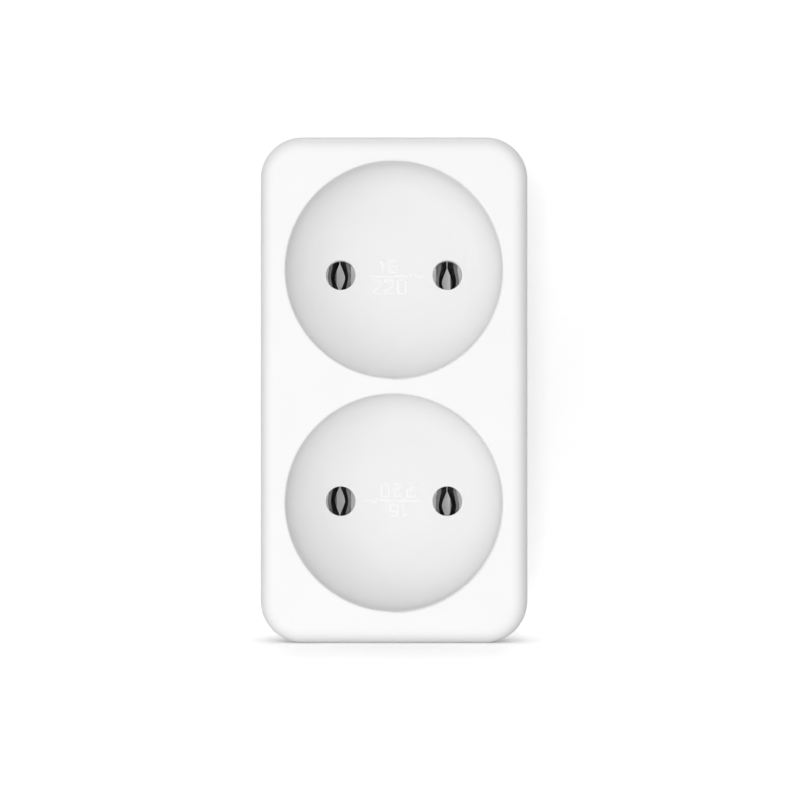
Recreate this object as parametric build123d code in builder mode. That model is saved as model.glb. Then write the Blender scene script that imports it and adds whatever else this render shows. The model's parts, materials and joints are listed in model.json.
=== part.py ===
from build123d import *
import os
from math import hypot

# Double socket adapter: a two-gang plug-in adapter for round-pin mains plugs, without earth.
# X is to the right and Z up, as the adapter is seen when it is plugged into a wall, and +Y points
# into the wall. The origin is the middle of the plug face, between the two plug pins. Heights are
# measured from the plug face towards the person in front, so a height h lies at Y = -h.
# All sizes are in millimetres.

# Mains plug and socket system
pin_spacing = 19.0
pin_diameter = 4.8
pin_length = 19.0
pin_tip_radius = 2.2

# Casing
body_width = 46.5
body_length = 88.0
body_depth = 32.0
body_drop = 0.6
corner_radius = 7.3
front_edge_radius = 2.9
back_edge_radius = 1.5
wall = 2.0
rear_cover_depth = 4.0
seam_chamfer = 0.25

# Lip of the rear cover, inside the front cover
lip_height = 2.0
lip_thickness = 1.1
lip_clearance = 0.15

# Socket recesses: two, one above the other, as wide as the casing's length allows
recess_end_margin = 5.05
recess_gap = 2.7
recess_diameter = (body_length - recess_gap) / 2 - recess_end_margin
socket_pitch = recess_diameter + recess_gap
recess_depth = 10.0
recess_draft = 0.25
recess_floor_fillet = 6.0
recess_rim_fillet = 0.35
recess_wall = 1.6
recess_floor_thickness = 2.0
cup_chamfer = 4.6
pin_hole_diameter = 5.3

# Plug boss
boss_diameter = 36.0
boss_height = 10.0
boss_draft = 0.3
boss_edge_fillet = 1.2
boss_wall = 2.0
boss_end_thickness = 2.5
sleeve_diameter = 9.0
pin_bore_clearance = 0.05

# Plug pins
shank_diameter = 5.2
flange_diameter = 7.0
flange_thickness = 1.2
tang_thickness = 2.0
tang_width = 5.0

# Contact strips, two to a pole, on edge, with a pair of leaves at each pin hole
sheet = 0.5
strip_height = 6.0
strip_end_radius = 1.5
tab_half_width = 3.8
throat_mid_gap = 0.93
throat_tip_gap = 0.08
throat_tip_distance = 2.5
throat_bend = 0.6
throat_height = 27.0
shoulder_height = 1.0
leaf_bend_height = 0.5
leaf_bend_share = 0.12
mouth_mid_gap = 1.57
mouth_tip_gap = 1.1
mouth_clearance = 0.8

# How far each pole's contacts sit off the axis of its plug pin, across and up
left_pole_offset = (-0.3, 0.0)
right_pole_offset = (0.1, -0.9)

# Rivets
rivet_distance = 11.0
rivet_diameter = 1.6
rivet_collar_diameter = 2.8
rivet_head_diameter = 3.2
rivet_head_thickness = 0.6
rivet_clearance = 0.03

# Steel springs round the leaves: a U that slides on from the strips' ends and snaps over the bulge
spring_sheet = 0.4
spring_height = 2.6
spring_bend_radius = 0.7
spring_leaf_clearance = 0.04
spring_end_clearance = 0.4
spring_throat_distance = 1.2
spring_straight = 1.5
spring_hook_run = 1.2
spring_hook_rise = 0.4

# Ribs of the rear cover, between and round the strips
rib_distance = 15.7
rib_length = 2.6
rib_thickness = 1.2
rib_height = 6.0
rib_clearance = 0.15
stop_clearance = 0.25
barrier_thickness = 1.6
barrier_half_length = 17.0
barrier_clearance = 0.5

# Screws that hold the covers together
case_screw_margin = 15.0
case_screw_distance = body_length / 2 - case_screw_margin
screw_diameter = 2.9
screw_length = 12.0
screw_head_diameter = 5.4
screw_head_height = 2.0
screw_head_chamfer = 0.6
screw_tip_length = 1.6
screw_slot_width = 0.9
screw_slot_length = 3.4
screw_slot_depth = 1.0
well_diameter = 6.4
well_depth = 3.5
web_thickness = 2.5
screw_hole_clearance = 0.2
post_wall = 1.3
screw_boss_diameter = 6.8
boss_gap = 0.1
pilot_spare = 0.8

# Heights that follow from the sizes above
back_height = boss_height
rear_floor_height = back_height + wall
split_height = back_height + rear_cover_depth
front_height = back_height + body_depth
recess_floor_height = front_height - recess_depth
floor_underside_height = recess_floor_height - recess_floor_thickness
flange_top_height = rear_floor_height + flange_thickness
strip_top_height = flange_top_height + strip_height
rivet_height = flange_top_height + strip_height / 2
mouth_height = floor_underside_height - mouth_clearance
screw_seat_height = back_height + well_depth
post_height = screw_seat_height + web_thickness
overlap = 0.2

socket_levels = {"upper": socket_pitch / 2, "lower": -socket_pitch / 2}
pin_places = {"left": -pin_spacing / 2, "right": pin_spacing / 2}
outward = {"left": -1, "right": 1}
hole_places = [(x, z) for z in socket_levels.values() for x in pin_places.values()]
screw_places = {"upper": case_screw_distance, "lower": -case_screw_distance}
rivet_places = {"upper": rivet_distance, "middle": 0.0, "lower": -rivet_distance}
pole_centres = {
    "left": (pin_places["left"] + left_pole_offset[0], left_pole_offset[1]),
    "right": (pin_places["right"] + right_pole_offset[0], right_pole_offset[1]),
}
strip_half_length = socket_pitch / 2 + tab_half_width
stack_half = tang_thickness / 2 + sheet


def level(height):
    """The plane at a height, with its normal towards the person in front."""
    return Plane.XZ.offset(height)


def row_plane(z, x=0.0, height=0.0):
    """The plane across the adapter at a Z, from a point on it: x is across, and y points backwards."""
    return Plane(origin=(x, -height, z))


def casing_outline(inset, mode=Mode.ADD):
    """The casing's rounded rectangle, drawn in by an inset."""
    with Locations((0, -body_drop)):
        RectangleRounded(
            body_width - 2 * inset, body_length - 2 * inset, corner_radius - inset, mode=mode
        )


def recess_section(z):
    """Half a recess's section: a flat floor, a round corner and a drafted wall up to the front."""
    radius = recess_diameter / 2
    with BuildSketch(row_plane(z)) as section:
        with BuildLine():
            FilletPolyline(
                (0, -recess_floor_height),
                (radius - recess_draft, -recess_floor_height),
                (radius, -front_height),
                radius=recess_floor_fillet,
            )
            Polyline((radius, -front_height), (0, -front_height), (0, -recess_floor_height))
        make_face()
    return section.sketch


def cup_section(z):
    """Half the section of the cup round a recess: the underside's corner is cut at 45 degrees."""
    radius = recess_diameter / 2 + recess_wall
    top = front_height - wall / 2
    with BuildSketch(row_plane(z)) as section:
        with BuildLine():
            Polyline(
                (0, -floor_underside_height),
                (radius - cup_chamfer, -floor_underside_height),
                (radius, -floor_underside_height - cup_chamfer),
                (radius, -top),
                (0, -top),
                close=True,
            )
        make_face()
    return section.sketch


def leaf_gap(distance, mid, tip):
    """Half the gap between two leaves, at a distance from its middle: straight flanks and a round bend."""
    run = hypot(distance, throat_bend) - throat_bend
    full_run = hypot(throat_tip_distance, throat_bend) - throat_bend
    return mid - (mid - tip) * run / full_run


def leaf_section(centre, side, height, mid, tip, lean):
    """One leaf's section at a height: a bowed middle that grips the pin, between two flat ends.

    The lean is how fast the middle and the ends open there, so that the sheet keeps its thickness.
    """
    x, z = centre
    outer_mid = mid + sheet * hypot(1, lean[0])
    outer_tip = tip + sheet * hypot(1, lean[1])
    steps = [throat_tip_distance * k / 4 for k in range(-4, 5)]
    inner = [(x + side * leaf_gap(s, mid, tip), z + s) for s in steps]
    outer = [(x + side * leaf_gap(s, outer_mid, outer_tip), z + s) for s in steps]
    low, high = z - tab_half_width, z + tab_half_width
    with BuildSketch(level(height)) as section:
        with BuildLine():
            Line((x + side * tip, low), inner[0])
            Spline(*inner)
            Line(inner[-1], (x + side * tip, high))
            Line((x + side * tip, high), (x + side * outer_tip, high))
            Line((x + side * outer_tip, high), outer[-1])
            Spline(*outer)
            Line(outer[0], (x + side * outer_tip, low))
            Line((x + side * outer_tip, low), (x + side * tip, low))
        make_face()
    return section.sketch


def leaf_stations():
    """Each leaf section's height, middle gap, tip gap and lean, from the strip to the mouth."""
    flat = tang_thickness / 2
    mid_rise = mouth_mid_gap - throat_mid_gap
    tip_rise = mouth_tip_gap - throat_tip_gap
    bend_top = throat_height + leaf_bend_height
    run = (mouth_height - bend_top) / (1 - leaf_bend_share)
    lean = (mid_rise / run, tip_rise / run)
    bend_mid = throat_mid_gap + leaf_bend_share * mid_rise
    bend_tip = throat_tip_gap + leaf_bend_share * tip_rise
    return (
        (strip_top_height, flat, flat, (0, 0)),
        (strip_top_height + shoulder_height, flat, flat, (0, 0)),
        (throat_height, throat_mid_gap, throat_tip_gap, (0, 0)),
        (bend_top, bend_mid, bend_tip, lean),
        (mouth_height, mouth_mid_gap, mouth_tip_gap, lean),
    )


def strip_face(inner_x):
    """The plane of a strip's face, with the height along -x and Z along y."""
    return Plane.YZ.offset(inner_x)


os.makedirs("parts", exist_ok=True)

# Front cover: white casing with the two recesses, their pin holes and the case screws' bosses
with BuildPart() as front_cover:
    with BuildSketch(level(split_height)):
        casing_outline(0)
    extrude(amount=front_height - split_height)
    fillet(front_cover.faces().sort_by(Axis.Y)[0].edges(), front_edge_radius)
    chamfer(front_cover.faces().sort_by(Axis.Y)[-1].edges(), seam_chamfer)
    with BuildSketch(level(split_height)):
        casing_outline(wall)
    extrude(amount=front_height - wall - split_height, mode=Mode.SUBTRACT)
    for z in socket_levels.values():
        revolve(cup_section(z), axis=Axis((0, 0, z), (0, 1, 0)))
    for z in socket_levels.values():
        revolve(recess_section(z), axis=Axis((0, 0, z), (0, 1, 0)), mode=Mode.SUBTRACT)
    front_circles = front_cover.faces().sort_by(Axis.Y)[0].edges().filter_by(GeomType.CIRCLE)
    rims = front_circles.filter_by(lambda edge: edge.radius > corner_radius)
    fillet(rims, recess_rim_fillet)
    with BuildSketch(level(floor_underside_height)):
        with Locations(*hole_places):
            Circle(pin_hole_diameter / 2)
    extrude(amount=recess_floor_thickness, mode=Mode.SUBTRACT)
    with BuildSketch(level(post_height + boss_gap)):
        with Locations(*((0, z) for z in screw_places.values())):
            Circle(screw_boss_diameter / 2)
    extrude(amount=floor_underside_height + overlap - post_height - boss_gap)
    with BuildSketch(level(post_height + boss_gap)):
        with Locations(*((0, z) for z in screw_places.values())):
            Circle(screw_diameter / 2)
    extrude(amount=screw_length + pilot_spare - web_thickness - boss_gap, mode=Mode.SUBTRACT)
front_cover.part.label = "front_cover"
export_step(front_cover.part, "parts/front_cover.step")

# Rear cover: white back with the plug boss, the pins' sleeves, the screw wells and the strips' ribs
lip_inset = wall + lip_clearance
hollow_diameter = boss_diameter - 2 * (boss_draft + boss_wall)
with BuildPart() as rear_cover:
    with BuildSketch(level(back_height)):
        casing_outline(0)
    extrude(amount=rear_cover_depth)
    fillet(rear_cover.faces().sort_by(Axis.Y)[-1].edges(), back_edge_radius)
    chamfer(rear_cover.faces().sort_by(Axis.Y)[0].edges(), seam_chamfer)
    with BuildSketch(row_plane(0)):
        with BuildLine():
            FilletPolyline(
                (0, 0),
                (boss_diameter / 2 - boss_draft, 0),
                (boss_diameter / 2, -back_height - overlap),
                radius=boss_edge_fillet,
            )
            Polyline(
                (boss_diameter / 2, -back_height - overlap), (0, -back_height - overlap), (0, 0)
            )
        make_face()
    revolve(axis=Axis.Y)
    with BuildSketch(level(rear_floor_height)):
        casing_outline(lip_inset + lip_thickness)
    extrude(amount=rear_cover_depth, mode=Mode.SUBTRACT)
    with BuildSketch(level(split_height)):
        casing_outline(lip_inset)
        casing_outline(lip_inset + lip_thickness, mode=Mode.SUBTRACT)
    extrude(amount=lip_height)
    # Hollow of the boss, round the two sleeves and the web between them
    with BuildSketch(level(boss_end_thickness)):
        Circle(hollow_diameter / 2)
        with Locations(*((x, 0) for x in pin_places.values())):
            Circle(sleeve_diameter / 2, mode=Mode.SUBTRACT)
        Rectangle(barrier_thickness, hollow_diameter, mode=Mode.SUBTRACT)
    extrude(amount=rear_floor_height - boss_end_thickness, mode=Mode.SUBTRACT)
    with BuildSketch(level(0)):
        with Locations(*((x, 0) for x in pin_places.values())):
            Circle(shank_diameter / 2 + pin_bore_clearance)
    extrude(amount=rear_floor_height, mode=Mode.SUBTRACT)
    # Barrier between the poles
    with BuildSketch(level(rear_floor_height - overlap)):
        Rectangle(barrier_thickness, 2 * barrier_half_length)
    extrude(amount=floor_underside_height - barrier_clearance - rear_floor_height + overlap)
    # Ribs on both sides of each pair of strips, and a stop at each of its ends
    for centre_x, centre_z in pole_centres.values():
        rib_offset = stack_half + rib_clearance + rib_thickness / 2
        stop_offset = strip_half_length + stop_clearance + rib_thickness / 2
        with BuildSketch(level(rear_floor_height - overlap)):
            with Locations((centre_x, centre_z)):
                with GridLocations(2 * rib_offset, 2 * rib_distance, 2, 2):
                    Rectangle(rib_thickness, rib_length)
                with GridLocations(0, 2 * stop_offset, 1, 2):
                    Rectangle(2 * (rib_offset + rib_thickness / 2), rib_thickness)
        extrude(amount=rib_height + overlap)
    # Posts and wells for the case screws
    with BuildSketch(level(rear_floor_height - overlap)):
        with Locations(*((0, z) for z in screw_places.values())):
            Circle(well_diameter / 2 + post_wall)
    extrude(amount=post_height - rear_floor_height + overlap)
    with BuildSketch(level(back_height)):
        with Locations(*((0, z) for z in screw_places.values())):
            Circle(well_diameter / 2)
    extrude(amount=well_depth, mode=Mode.SUBTRACT)
    with BuildSketch(level(screw_seat_height)):
        with Locations(*((0, z) for z in screw_places.values())):
            Circle(screw_diameter / 2 + screw_hole_clearance)
    extrude(amount=web_thickness, mode=Mode.SUBTRACT)
rear_cover.part.label = "rear_cover"
export_step(rear_cover.part, "parts/rear_cover.step")

# Plug pins: turned, with a thicker shank in the boss, a flange and a flat tang between the strips
for pole, pin_x in pin_places.items():
    centre_x, centre_z = pole_centres[pole]
    with BuildPart() as pin:
        with BuildSketch(row_plane(0, pin_x)):
            with BuildLine():
                FilletPolyline(
                    (0, pin_length),
                    (pin_diameter / 2, pin_length),
                    (pin_diameter / 2, 0),
                    radius=pin_tip_radius,
                )
                Polyline(
                    (pin_diameter / 2, 0),
                    (shank_diameter / 2, 0),
                    (shank_diameter / 2, -rear_floor_height),
                    (flange_diameter / 2, -rear_floor_height),
                    (flange_diameter / 2, -flange_top_height),
                    (0, -flange_top_height),
                    (0, pin_length),
                )
            make_face()
        revolve(axis=Axis((pin_x, 0, 0), (0, 1, 0)))
        with BuildSketch(level(flange_top_height - overlap)):
            with Locations((centre_x, centre_z)):
                Rectangle(tang_thickness, tang_width)
        extrude(amount=strip_height + overlap)
        with BuildSketch(strip_face(centre_x - tang_thickness)):
            with Locations((-rivet_height, centre_z)):
                Circle(rivet_diameter / 2 + rivet_clearance)
        extrude(amount=2 * tang_thickness, mode=Mode.SUBTRACT)
    pin.part.label = f"{pole}_pin"
    export_step(pin.part, f"parts/{pole}_pin.step")

# Contact strips: each pole's two strips run behind both sockets and rise to a leaf at each pin hole
for pole, (centre_x, centre_z) in pole_centres.items():
    for face, side in (("inner", -outward[pole]), ("outer", outward[pole])):
        inner_x = centre_x + side * tang_thickness / 2
        with BuildPart() as strip:
            with BuildSketch(strip_face(inner_x)) as profile:
                with Locations((-rivet_height, centre_z)):
                    Rectangle(strip_height, 2 * strip_half_length)
                back_corners = profile.vertices().group_by(Axis.Y)[-1]
                fillet(back_corners, strip_end_radius)
                with Locations(*((-rivet_height, centre_z + d) for d in rivet_places.values())):
                    Circle(rivet_diameter / 2 + rivet_clearance, mode=Mode.SUBTRACT)
            extrude(amount=side * sheet)
            for z in socket_levels.values():
                tab = (centre_x, centre_z + z)
                loft([leaf_section(tab, side, *station) for station in leaf_stations()], ruled=True)
        strip.part.label = f"{pole}_{face}_strip"
        export_step(strip.part, f"parts/{pole}_{face}_strip.step")

# Rivets: a plain one through each tang, and one with a collar near each socket
for pole, (centre_x, centre_z) in pole_centres.items():
    for place, distance in rivet_places.items():
        head_end = stack_half + rivet_head_thickness
        rivet_z = centre_z + distance
        with BuildPart() as rivet:
            with BuildSketch(row_plane(rivet_z, centre_x, rivet_height)):
                with BuildLine():
                    Polyline(
                        (head_end, 0),
                        (head_end, -rivet_head_diameter / 2),
                        (stack_half, -rivet_head_diameter / 2),
                        (stack_half, -rivet_diameter / 2),
                        (-stack_half, -rivet_diameter / 2),
                        (-stack_half, -rivet_head_diameter / 2),
                        (-head_end, -rivet_head_diameter / 2),
                        (-head_end, 0),
                        close=True,
                    )
                make_face()
            revolve(axis=Axis((centre_x, -rivet_height, rivet_z), (1, 0, 0)))
            if place != "middle":
                with BuildSketch(strip_face(centre_x - tang_thickness / 2)):
                    with Locations((-rivet_height, rivet_z)):
                        Circle(rivet_collar_diameter / 2)
                extrude(amount=tang_thickness)
        rivet.part.label = f"{pole}_{place}_rivet"
        export_step(rivet.part, f"parts/{pole}_{place}_rivet.step")

# Springs: a steel U round each pair of leaves, open towards the middle, with its ends hooked in
spring_inner = stack_half + spring_leaf_clearance
spring_outer = spring_inner + spring_sheet
spring_bridge = tab_half_width + spring_end_clearance
hook_inner = spring_inner - spring_hook_rise
hook_end = -spring_straight - spring_hook_run
spring_low = throat_height - spring_throat_distance - spring_height
for pole, (centre_x, centre_z) in pole_centres.items():
    for place, z in socket_levels.items():
        away = 1 if z > 0 else -1
        with BuildPart() as spring:
            with BuildSketch(level(spring_low).shift_origin((centre_x, -spring_low, centre_z + z))):
                with BuildLine():
                    for side in (-1, 1):
                        Polyline(
                            (side * spring_inner, 0),
                            (side * spring_inner, -away * spring_straight),
                            (side * hook_inner, away * hook_end),
                            (side * (hook_inner + spring_sheet), away * hook_end),
                            (side * spring_outer, -away * spring_straight),
                            (side * spring_outer, 0),
                        )
                    FilletPolyline(
                        (-spring_inner, 0),
                        (-spring_inner, away * spring_bridge),
                        (spring_inner, away * spring_bridge),
                        (spring_inner, 0),
                        radius=spring_bend_radius,
                    )
                    FilletPolyline(
                        (-spring_outer, 0),
                        (-spring_outer, away * (spring_bridge + spring_sheet)),
                        (spring_outer, away * (spring_bridge + spring_sheet)),
                        (spring_outer, 0),
                        radius=spring_bend_radius + spring_sheet,
                    )
                make_face()
            extrude(amount=spring_height)
        spring.part.label = f"{pole}_{place}_spring"
        export_step(spring.part, f"parts/{pole}_{place}_spring.step")

# Case screws: pan head with a cross slot, and a pointed shank into the front cover's boss
for place, z in screw_places.items():
    head_height = screw_seat_height - screw_head_height
    tip_height = screw_seat_height + screw_length
    with BuildPart() as screw:
        with BuildSketch(row_plane(z)):
            with BuildLine():
                Polyline(
                    (0, -head_height),
                    (screw_head_diameter / 2 - screw_head_chamfer, -head_height),
                    (screw_head_diameter / 2, -head_height - screw_head_chamfer),
                    (screw_head_diameter / 2, -screw_seat_height),
                    (screw_diameter / 2, -screw_seat_height),
                    (screw_diameter / 2, -tip_height + screw_tip_length),
                    (0, -tip_height),
                    close=True,
                )
            make_face()
        revolve(axis=Axis((0, 0, z), (0, 1, 0)))
        with BuildSketch(level(head_height)):
            with Locations((0, z)):
                Rectangle(screw_slot_width, screw_slot_length)
                Rectangle(screw_slot_length, screw_slot_width)
        extrude(amount=screw_slot_depth, mode=Mode.SUBTRACT)
    screw.part.label = f"{place}_case_screw"
    export_step(screw.part, f"parts/{place}_case_screw.step")
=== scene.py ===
import json
from math import atan2, hypot, pi

import bpy
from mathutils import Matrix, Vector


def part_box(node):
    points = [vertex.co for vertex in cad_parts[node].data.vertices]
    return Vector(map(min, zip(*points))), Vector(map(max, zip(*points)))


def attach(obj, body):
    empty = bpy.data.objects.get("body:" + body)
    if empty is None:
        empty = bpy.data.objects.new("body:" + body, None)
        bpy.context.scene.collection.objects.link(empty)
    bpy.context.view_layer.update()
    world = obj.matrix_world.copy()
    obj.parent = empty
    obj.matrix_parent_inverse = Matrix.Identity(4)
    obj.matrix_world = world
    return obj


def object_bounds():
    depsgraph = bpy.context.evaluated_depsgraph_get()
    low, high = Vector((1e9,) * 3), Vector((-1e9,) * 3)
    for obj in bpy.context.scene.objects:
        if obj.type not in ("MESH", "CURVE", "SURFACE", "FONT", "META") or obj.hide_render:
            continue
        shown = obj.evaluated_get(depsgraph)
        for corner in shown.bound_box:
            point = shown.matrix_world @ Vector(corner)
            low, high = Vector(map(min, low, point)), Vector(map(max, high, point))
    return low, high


# Finishes, raised marking, stage, light and camera of the double socket adapter. Lengths are in metres
# where nothing else is said.
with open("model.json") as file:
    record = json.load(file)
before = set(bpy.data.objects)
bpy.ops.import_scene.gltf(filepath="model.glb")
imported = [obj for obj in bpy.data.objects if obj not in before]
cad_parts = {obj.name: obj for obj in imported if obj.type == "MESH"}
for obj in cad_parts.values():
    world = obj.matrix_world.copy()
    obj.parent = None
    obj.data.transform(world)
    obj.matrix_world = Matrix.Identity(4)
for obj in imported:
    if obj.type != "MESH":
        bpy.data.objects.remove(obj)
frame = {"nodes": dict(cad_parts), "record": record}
cad_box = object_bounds()

MM = 0.001
WHITE = (1.0, 1.0, 1.0, 1.0)

# Camera: it looks straight at the face, from below its middle. Its axis meets the picture at AXIS_PIXEL.
IMAGE_SIZE = 800
AXIS_PIXEL = (394.0, 460.0)
FOCAL_PIXELS = 1806.0
SENSOR_MM = 36.0
FACE_DISTANCE = 312.0 * MM
CAMERA_DROP = 12.8 * MM
CLIP_START = 10.0 * MM

# White plastic: satin outside, and matt in the recesses, where painted shade makes it darker. The marking
# there gets less of that painted shade, so it is lighter than the floor round it. The glow is painted
# light: an emission in the hollow that stands in for the light that the thin walls let in.
PLASTIC_WHITE = 0.92
PLASTIC_ROUGHNESS = 0.42
PLASTIC_SPECULAR = 0.3
PLASTIC_IOR = 1.49
RECESS_PAINTED_SHADE = 0.1
RECESS_ROUGHNESS = 0.62
MARKING_PAINTED_SHADE = 0.05
PAINTED_INNER_GLOW = 0.17

# How much the plastic's white, its roughness and the height of its grain vary, and how finely
MOTTLE = 0.006
MOTTLE_SCALE = 140.0
FLOW = 0.04
FLOW_SCALE = 420.0
GRAIN_DEPTH = 0.006 * MM
GRAIN_SCALE = 5200.0
GRAIN_DETAIL = 2.0
GRAIN_STRENGTH = 0.35

# Plated metals: each finish's name, the ends of the names of the nodes that have it, and its looks. The
# streaks are the scale of its noise along each axis, and dull is the share of its grey in dull patches.
STEEL = dict(grey=0.45, roughness=0.32, streaks=(1500.0, 1500.0, 1500.0), dull=0.7)
METALS = [
    # The contacts' grey is set darker than plated nickel is, as painted shade for the deep socket holes.
    (
        "contact_nickel",
        ("_strip", "_rivet"),
        dict(grey=0.26, roughness=0.4, streaks=(5200.0, 160.0, 900.0), dull=0.6),
    ),
    ("pin_nickel", "_pin", dict(grey=0.62, roughness=0.2, streaks=(900.0, 90.0, 900.0), dull=0.85)),
    ("spring_steel", "_spring", STEEL),
    ("screw_steel", "_screw", dict(STEEL, threaded=True)),
]
PATCH_SCALE = 900.0
STREAK_DETAIL = 4.0
STREAK_DEPTH = 0.006 * MM
STREAK_STRENGTH = 0.5
STREAK_SMOOTHER = 0.08
STREAK_ROUGHER = 0.1
THREAD_PITCH = 1.1 * MM
THREAD_DEPTH = 0.2 * MM

# Noise: its usual detail, and the ranges of its values that are spread out
NOISE_DETAIL = 3.0
NOISE_RANGE = (0.3, 0.7)
FLOW_RANGE = (0.25, 0.75)
TARNISH_RANGE = (0.1, 0.4)

# Raised marking on the recess floors: rounded strokes, sunk into the floor so that they stand out low
STROKE_RADIUS = 0.36 * MM
STROKE_SINK = 0.24 * MM
STROKE_FACETS = 3
CORNER_RADIUS = 0.3 * MM
CORNER_STEPS = 4

# Each character's strokes, in a box one wide and one high
CHARACTERS = {
    "0": [[(0.5, 1), (1, 1), (1, 0), (0, 0), (0, 1), (0.5, 1)]],
    "1": [[(0.1, 0.72), (0.6, 1), (0.6, 0)]],
    "2": [[(0, 0.72), (0, 1), (1, 1), (1, 0.52), (0, 0.2), (0, 0), (1, 0)]],
    "6": [[(0.95, 1), (0, 1), (0, 0), (1, 0), (1, 0.56), (0, 0.56)]],
    "-": [[(0, 0), (1, 0)]],
    "~": [[(0, 0), (0, 0.7), (0.3, 1), (0.7, 0), (1, 0.3), (1, 1)]],
}

# Each mark's character, its left and lower edge from the recess's middle, and its width and height, all
# in millimetres
MARKING = [
    ("1", (-2.6, 0.55), (1.2, 2.1)),
    ("6", (-0.75, 0.55), (1.4, 2.1)),
    ("-", (-4.4, -0.13), (6.9, 0.0)),
    ("2", (-3.8, -3.2), (1.35, 2.4)),
    ("2", (-1.5, -3.2), (1.35, 2.4)),
    ("0", (0.8, -3.2), (1.35, 2.4)),
    ("~", (3.0, -0.4), (2.2, 0.6)),
]

# Floor and backdrop: how light they are, how much they are lifted towards white, and how far they reach
STAGE_COLOUR = (0.9, 0.9, 0.9, 1.0)
FLOOR_LIFT = 0.64
BACKDROP_LIFT = 0.24
BACKDROP_GAP = 1.5 * MM
STAGE_REACH = 3.0

# Contact shadow that the floor keeps at the object's foot: how far the object counts as near, how far
# behind the front it ends, how softly, and how much of the lift it takes away
CONTACT_REACH = 45.0 * MM
CONTACT_DEPTH = 12.0 * MM
CONTACT_FADE = 6.0 * MM
CONTACT_SHADE = 1.05

# Surround: it is light in front and dark behind, and turns from one to the other in this range of the
# direction's Y
SURROUND_FRONT = 0.82
SURROUND_BACK = 0.08
SURROUND_TURN = (-0.6, -0.1)

# Lamps: a small key lamp near the camera, soft lamps on the left and below, one above that puts a soft
# shadow in front, and a wide one for the back. The level is how light a white surface gets that faces it.
LAMPS = {
    "key_lamp": dict(towards=(-0.08, -1.0, -0.05), distance=1.2, size=0.14, level=0.21, shines=False),
    "left_lamp": dict(towards=(-1.0, -1.0, -0.25), distance=0.9, size=0.45, level=0.11),
    "low_lamp": dict(towards=(-0.3, -1.0, -0.9), distance=0.9, size=0.45, level=0.06),
    "top_lamp": dict(towards=(0.0, 0.32, 1.0), distance=0.9, size=0.25, level=0.1),
    "back_lamp": dict(towards=(0.0, 1.0, 0.12), distance=1.2, size=1.0, level=0.6),
}

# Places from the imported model
front_low, front_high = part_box("front_cover")
rear_low, rear_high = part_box("rear_cover")
mounts = {mount["name"]: mount for mount in frame["record"]["mounts"]}
socket_centres = [mounts[name]["pos_m"] for name in ("upper_socket", "lower_socket")]
recess_floor_y = socket_centres[0][1]
face_middle = (0.0, front_low[1], 0.0)

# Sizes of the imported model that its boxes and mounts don't give, repeated from its source
WALL = 2.0 * MM
RECESS_FLOOR_THICKNESS = 2.0 * MM
BOSS_HEIGHT = 10.0 * MM
CASING_CORNER = 7.3 * MM
SCREW_SEAT = 13.5 * MM

# How far a finish reaches past the face that it ends on
MARGIN = 0.1 * MM

# Reach of the recess finish and its painted shade: out to just past the recess wall, and in from under the
# rim
RECESS_REACH = 18.95 * MM
RIM_DEPTH = 0.4 * MM

# Reach of the painted glow: into the walls, so that it covers their inner faces, and past a cover's open
# end
GLOW_OVERLAP = 0.3 * MM
GLOW_PAST_END = 1.0 * MM


def add_object(name, data):
    """A new object in the scene."""
    made = bpy.data.objects.new(name, data)
    bpy.context.scene.collection.objects.link(made)
    return made


def material(name):
    """A new node material, with its tree, its Principled shader and its output node."""
    made = bpy.data.materials.new(name)
    made.use_nodes = True
    tree = made.node_tree
    return made, tree, tree.nodes["Principled BSDF"], tree.nodes["Material Output"]


def feed(tree, target, *in_order, **by_name):
    """Sets a node's inputs, in their order or by name: a value is set, and a socket is linked."""
    given = dict(enumerate(in_order))
    given.update({key.replace("_", " "): value for key, value in by_name.items()})
    for key, value in given.items():
        if isinstance(value, bpy.types.NodeSocket):
            tree.links.new(value, target.inputs[key])
        else:
            target.inputs[key].default_value = value


def node(tree, kind, *in_order, **by_name):
    """A new node with some of its inputs set."""
    made = tree.nodes.new(kind)
    feed(tree, made, *in_order, **by_name)
    return made


def maths(tree, operation, first, second=0.0):
    """The result of a Math node on one or two values or sockets."""
    made = node(tree, "ShaderNodeMath", first, second)
    made.operation = operation
    return made.outputs[0]


def product(tree, result, *factors):
    """The product of a socket and other sockets or values."""
    for factor in factors:
        result = maths(tree, "MULTIPLY", result, factor)
    return result


def ramp(tree, value, from_range, to_range):
    """A value mapped from one range to another, and held within the second."""
    limits = dict(From_Min=from_range[0], From_Max=from_range[1], To_Min=to_range[0], To_Max=to_range[1])
    return node(tree, "ShaderNodeMapRange", Value=value, **limits).outputs[0]


def object_point(tree):
    """A surface point's place. All pieces sit at the origin, so it is the place in the frame."""
    return node(tree, "ShaderNodeTexCoord").outputs["Object"]


def axes(tree):
    """The X, Y and Z of a surface point."""
    return node(tree, "ShaderNodeSeparateXYZ", object_point(tree)).outputs


def noise(tree, scale, detail=NOISE_DETAIL, point=None):
    """Noise over the surface, or over a point that is given."""
    vector = point or object_point(tree)
    return node(tree, "ShaderNodeTexNoise", Vector=vector, Scale=scale, Detail=detail).outputs[0]


def bump(tree, height, distance, strength, **normal):
    """The normal of a surface with a height on it, on top of another Normal where one is given."""
    return node(
        tree, "ShaderNodeBump", Height=height, Distance=distance, Strength=strength, **normal
    ).outputs[0]


def inside_box(tree, low, high):
    """One where a surface point lies in a box, and nothing elsewhere."""
    sides = []
    for value, least, most in zip(axes(tree), low, high):
        sides.append(maths(tree, "GREATER_THAN", value, least))
        sides.append(maths(tree, "LESS_THAN", value, most))
    return product(tree, *sides)


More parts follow.
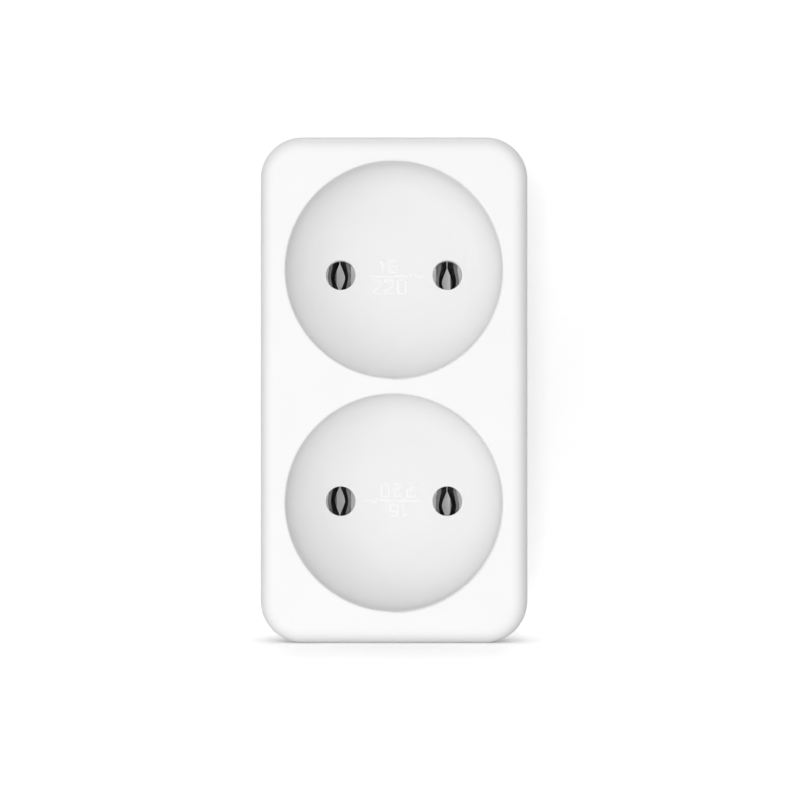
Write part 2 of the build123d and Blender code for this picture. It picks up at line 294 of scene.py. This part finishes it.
def inside_recess(tree):
    """One on the floor and wall of a socket recess, and nothing elsewhere.

    The two recesses lie evenly above and below the origin.
    """
    x, y, z = axes(tree)
    under_rim = maths(tree, "GREATER_THAN", y, front_low[1] + RIM_DEPTH)
    before_hollow = maths(tree, "LESS_THAN", y, recess_floor_y + MARGIN)
    rise = maths(tree, "SUBTRACT", maths(tree, "ABSOLUTE", z), socket_centres[0][2])
    distance = maths(tree, "SQRT", maths(tree, "ADD", product(tree, x, x), product(tree, rise, rise)))
    near = maths(tree, "LESS_THAN", distance, RECESS_REACH)
    return product(tree, near, under_rim, before_hollow)


def white_plastic(name, hollow, recess_painted_shade=RECESS_PAINTED_SHADE):
    """Moulded white plastic, matt with painted shade in the recesses, and painted glow in the hollow's box.
    """
    made, tree, shader, _ = material(name)
    recess = inside_recess(tree)
    white = (PLASTIC_WHITE - MOTTLE, PLASTIC_WHITE + MOTTLE)
    mottled = ramp(tree, noise(tree, MOTTLE_SCALE), NOISE_RANGE, white)
    flow = ramp(tree, noise(tree, FLOW_SCALE), FLOW_RANGE, (-FLOW, FLOW))
    polish = ramp(tree, recess, (0.0, 1.0), (PLASTIC_ROUGHNESS, RECESS_ROUGHNESS))
    grain = noise(tree, GRAIN_SCALE, GRAIN_DETAIL)
    depth = ramp(tree, recess, (0.0, 1.0), (0.0, GRAIN_DEPTH))
    # Painted shade takes some white from the recesses, and painted glow lights the hollow's inner faces.
    feed(
        tree,
        shader,
        Base_Color=maths(tree, "SUBTRACT", mottled, product(tree, recess, recess_painted_shade)),
        Roughness=maths(tree, "ADD", polish, flow),
        Normal=bump(tree, grain, depth, GRAIN_STRENGTH),
        IOR=PLASTIC_IOR,
        Specular_IOR_Level=PLASTIC_SPECULAR,
        Emission_Color=WHITE,
        Emission_Strength=product(tree, inside_box(tree, *hollow), PAINTED_INNER_GLOW),
    )
    return made


def threads(tree):
    """The height of a screw's thread along its shank, and none on its head."""
    _, along, _ = axes(tree)
    wave = maths(tree, "SINE", product(tree, along, 2 * pi / THREAD_PITCH))
    shank = maths(tree, "LESS_THAN", along, -SCREW_SEAT)
    return product(tree, wave, shank)


def plated_metal(name, grey, roughness, streaks, dull, threaded=False):
    """Plated metal with fine streaks along its rolling or drawing direction, and dull patches."""
    made, tree, shader, _ = material(name)
    point = node(tree, "ShaderNodeMapping", Vector=object_point(tree), Scale=streaks).outputs[0]
    streak = noise(tree, 1.0, STREAK_DETAIL, point)
    tarnish = product(tree, streak, noise(tree, PATCH_SCALE))
    surface = bump(tree, streak, STREAK_DEPTH, STREAK_STRENGTH)
    if threaded:
        surface = bump(tree, threads(tree), THREAD_DEPTH, 1.0, Normal=surface)
    uneven = (roughness - STREAK_SMOOTHER, roughness + STREAK_ROUGHER)
    feed(
        tree,
        shader,
        Base_Color=ramp(tree, tarnish, TARNISH_RANGE, (grey * dull, grey)),
        Roughness=ramp(tree, streak, NOISE_RANGE, uneven),
        Normal=surface,
        Metallic=1.0,
    )
    return made


def dress(endings, finish):
    """Gives the CAD nodes whose names end so a finish, in place of what they were packed with."""
    for name, piece in frame["nodes"].items():
        if name.endswith(endings):
            slots = piece.data.materials
            for index in range(len(slots)):
                slots[index] = finish


def hollow_box(low, high, start_y, end_y):
    """The box that holds the inner faces of a cover's walls. It stays out of the casing's round corners."""
    inset = WALL - GLOW_OVERLAP
    return (
        (low[0] + inset, start_y, low[2] + CASING_CORNER),
        (high[0] - inset, end_y, high[2] - CASING_CORNER),
    )


# Finishes of the CAD nodes and of the marking. The hollow lies between the recess floors' undersides and
# the back wall, and the painted glow ends half way through that wall.
hollow_start = recess_floor_y + RECESS_FLOOR_THICKNESS - MARGIN
hollow_end = -BOSS_HEIGHT - WALL / 2
front_hollow = hollow_box(front_low, front_high, hollow_start, front_high[1] + GLOW_PAST_END)
rear_hollow = hollow_box(rear_low, rear_high, rear_low[1] - GLOW_PAST_END, hollow_end)
dress("front_cover", white_plastic("front_plastic", front_hollow))
dress("rear_cover", white_plastic("rear_plastic", rear_hollow))
for finish_name, endings, looks in METALS:
    dress(endings, plated_metal(finish_name, **looks))
# The marking gets less painted shade than the recess floor round it, so it stands lighter.
marking_finish = white_plastic("marking_plastic", front_hollow, MARKING_PAINTED_SHADE)


def rounded(points):
    """The points of a line of straight runs, with each of its corners rounded."""
    line = [points[0]]
    for before, corner, after in zip(points, points[1:], points[2:]):
        ends = []
        for other in (before, after):
            run = hypot(other[0] - corner[0], other[1] - corner[1])
            share = min(CORNER_RADIUS, run / 2) / run
            ends.append([c + (o - c) * share for c, o in zip(corner, other)])
        start, end = ends
        for step in range(CORNER_STEPS + 1):
            t = step / CORNER_STEPS
            line.append([
                (1 - t) ** 2 * s + 2 * t * (1 - t) * c + t ** 2 * e for s, c, e in zip(start, corner, end)
            ])
    return line + [points[-1]]


def raised_marking(name, centre, turn):
    """Low rounded strokes that stand out of a recess floor. A turn of -1 puts them upside down."""
    curve = bpy.data.curves.new(name, "CURVE")
    curve.dimensions = "3D"
    curve.bevel_depth = STROKE_RADIUS
    curve.bevel_resolution = STROKE_FACETS
    curve.use_fill_caps = True
    for character, (left, low), (width, height) in MARKING:
        for stroke in CHARACTERS[character]:
            line = rounded([((left + u * width) * MM, (low + v * height) * MM) for u, v in stroke])
            spline = curve.splines.new("POLY")
            spline.points.add(len(line) - 1)
            for point, (x, z) in zip(spline.points, line):
                point.co = (centre[0] + turn * x, centre[1] + STROKE_SINK, centre[2] + turn * z, 1.0)
    mark = add_object(name, curve)
    mark.data.materials.append(marking_finish)
    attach(mark, "root")


# Marking, upright in the upper recess and upside down in the lower one
raised_marking("upper_marking", socket_centres[0], 1)
raised_marking("lower_marking", socket_centres[1], -1)


def fade(tree, value, end):
    """One before an end and nothing past it, with a soft change between them."""
    return ramp(tree, value, (end - CONTACT_FADE, end + CONTACT_FADE), (1.0, 0.0))


def contact_shadow(tree):
    """The share of the lift that the object takes away at its foot, in front and within its width."""
    open_share = node(tree, "ShaderNodeAmbientOcclusion", Distance=CONTACT_REACH).outputs["AO"]
    hidden = maths(tree, "SUBTRACT", 1.0, open_share)
    x, y, _ = axes(tree)
    in_width = fade(tree, maths(tree, "ABSOLUTE", x), front_high[0])
    in_front = fade(tree, y, front_low[1] + CONTACT_DEPTH)
    return product(tree, hidden, in_width, in_front, CONTACT_SHADE)


def stage_material(name, lift, one_sided=False, contact=False):
    """A white diffuse surface that keeps shadows, lifted to white for the camera and in reflections.

    Light passes through it, and so does the view from behind it where it is one-sided.
    """
    made, tree, shader, output = material(name)
    tree.nodes.remove(shader)
    path = node(tree, "ShaderNodeLightPath").outputs
    seen = maths(tree, "MAXIMUM", path["Is Camera Ray"], path["Is Glossy Ray"])
    seen = maths(tree, "MAXIMUM", seen, path["Is Transmission Ray"])
    strength = product(tree, seen, lift)
    if contact:
        strength = product(tree, strength, maths(tree, "SUBTRACT", 1.0, contact_shadow(tree)))
    diffuse = node(tree, "ShaderNodeBsdfDiffuse", Color=STAGE_COLOUR).outputs[0]
    lifted = node(tree, "ShaderNodeEmission", Strength=strength).outputs[0]
    surface = node(tree, "ShaderNodeAddShader", diffuse, lifted).outputs[0]
    if one_sided:
        back = node(tree, "ShaderNodeNewGeometry").outputs["Backfacing"]
        seen = product(tree, seen, maths(tree, "SUBTRACT", 1.0, back))
    clear = node(tree, "ShaderNodeBsdfTransparent").outputs[0]
    feed(tree, output, Surface=node(tree, "ShaderNodeMixShader", seen, clear, surface).outputs[0])
    return made


def stage_plane(name, near, far, finish):
    """A wide rectangle between two level edges, each given by its Y and Z."""
    sides = ((-STAGE_REACH, near), (STAGE_REACH, near), (STAGE_REACH, far), (-STAGE_REACH, far))
    mesh = bpy.data.meshes.new(name)
    mesh.from_pydata([(x, *edge) for x, edge in sides], [], [(0, 1, 2, 3)])
    mesh.materials.append(finish)
    plane = add_object(name, mesh)


# Floor, which the object stands on, and backdrop behind its pins
floor_z = front_low[2]
backdrop_y = cad_box[1][1] + BACKDROP_GAP
floor_white = stage_material("floor_white", FLOOR_LIFT, contact=True)
backdrop_white = stage_material("backdrop_white", BACKDROP_LIFT, one_sided=True)
stage_plane("floor", (-STAGE_REACH, floor_z), (STAGE_REACH, floor_z), floor_white)
stage_plane("backdrop", (backdrop_y, floor_z), (backdrop_y, STAGE_REACH), backdrop_white)

# Surround, which is white to the camera
world = bpy.data.worlds.new("surround")
bpy.context.scene.world = world
world.use_nodes = True
surround = world.node_tree
camera_ray = node(surround, "ShaderNodeLightPath").outputs["Is Camera Ray"]
direction = node(surround, "ShaderNodeTexCoord").outputs["Generated"]
towards_back = node(surround, "ShaderNodeSeparateXYZ", direction).outputs[1]
around = ramp(surround, towards_back, SURROUND_TURN, (SURROUND_FRONT, SURROUND_BACK))
strength = maths(surround, "MAXIMUM", around, camera_ray)
feed(surround, surround.nodes["Background"], Color=WHITE, Strength=strength)


def lamp(name, towards, distance, size, level, shines=True):
    """A square soft lamp in a direction from the face, and turned to it.

    A white surface that faces it gets a level of its power / (pi * distance) ** 2. A lamp that doesn't
    shine isn't seen in reflections.
    """
    light = bpy.data.lights.new(name, "AREA")
    light.shape = "SQUARE"
    light.size = size
    light.energy = level * (pi * distance) ** 2
    holder = add_object(name, light)
    holder.visible_glossy = shines
    reach = distance / hypot(*towards)
    holder.location = [c + t * reach for c, t in zip(face_middle, towards)]
    dx, dy, dz = (-t for t in towards)
    tilt = pi / 2 + atan2(dz, hypot(dx, dy))
    turn = atan2(dy, dx) - pi / 2
    holder.rotation_euler = (tilt, 0.0, turn)


# Lamps
for lamp_name, setting in LAMPS.items():
    lamp(lamp_name, **setting)

# Camera
camera_data = bpy.data.cameras.new("camera")
camera_data.sensor_width = SENSOR_MM
camera_data.lens = FOCAL_PIXELS / IMAGE_SIZE * SENSOR_MM
camera_data.shift_x = (IMAGE_SIZE / 2 - AXIS_PIXEL[0]) / IMAGE_SIZE
camera_data.shift_y = (AXIS_PIXEL[1] - IMAGE_SIZE / 2) / IMAGE_SIZE
camera_data.clip_start = CLIP_START
camera = add_object("camera", camera_data)
camera.location = (0.0, front_low[1] - FACE_DISTANCE, -CAMERA_DROP)
camera.rotation_euler = (pi / 2, 0.0, 0.0)
bpy.context.scene.camera = camera

bpy.context.scene.view_settings.view_transform = "Standard"
